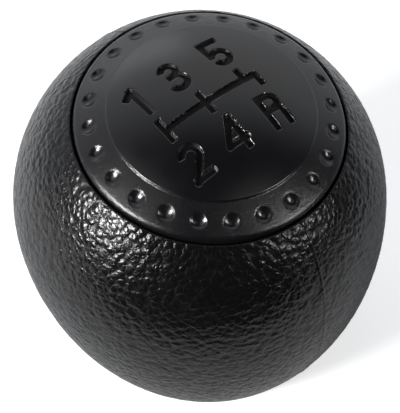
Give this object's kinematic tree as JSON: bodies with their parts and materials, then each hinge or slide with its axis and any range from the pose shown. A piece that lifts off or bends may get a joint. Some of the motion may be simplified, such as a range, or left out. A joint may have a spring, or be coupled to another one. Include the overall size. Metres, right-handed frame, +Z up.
{
  "type": "gear shift knob",
  "caption": "Ball-shaped gear shift knob with a grained skin, a domed cap engraved with a shift pattern, and a threaded insert for the lever.",
  "frame": {"origin": "middle of the foot, on the plane that the knob stands on", "axes": "+Z up along the lever's axis, +Y forward in the shift pattern, +X to the right in the shift pattern"},
  "size_m": [0.05, 0.0502, 0.0484],
  "materials": {
    "grained_skin": "moulded leather grain with a soft sheen",
    "satin_cap": "satin, smooth",
    "core_nylon": "plain moulded",
    "insert_brass": "turned"
  },
  "bodies": {
    "root": {"grip_shell": "grained_skin", "rigid_core": "core_nylon", "thread_insert": "insert_brass", "pattern_cap": "satin_cap"}
  },
  "joints": []
}
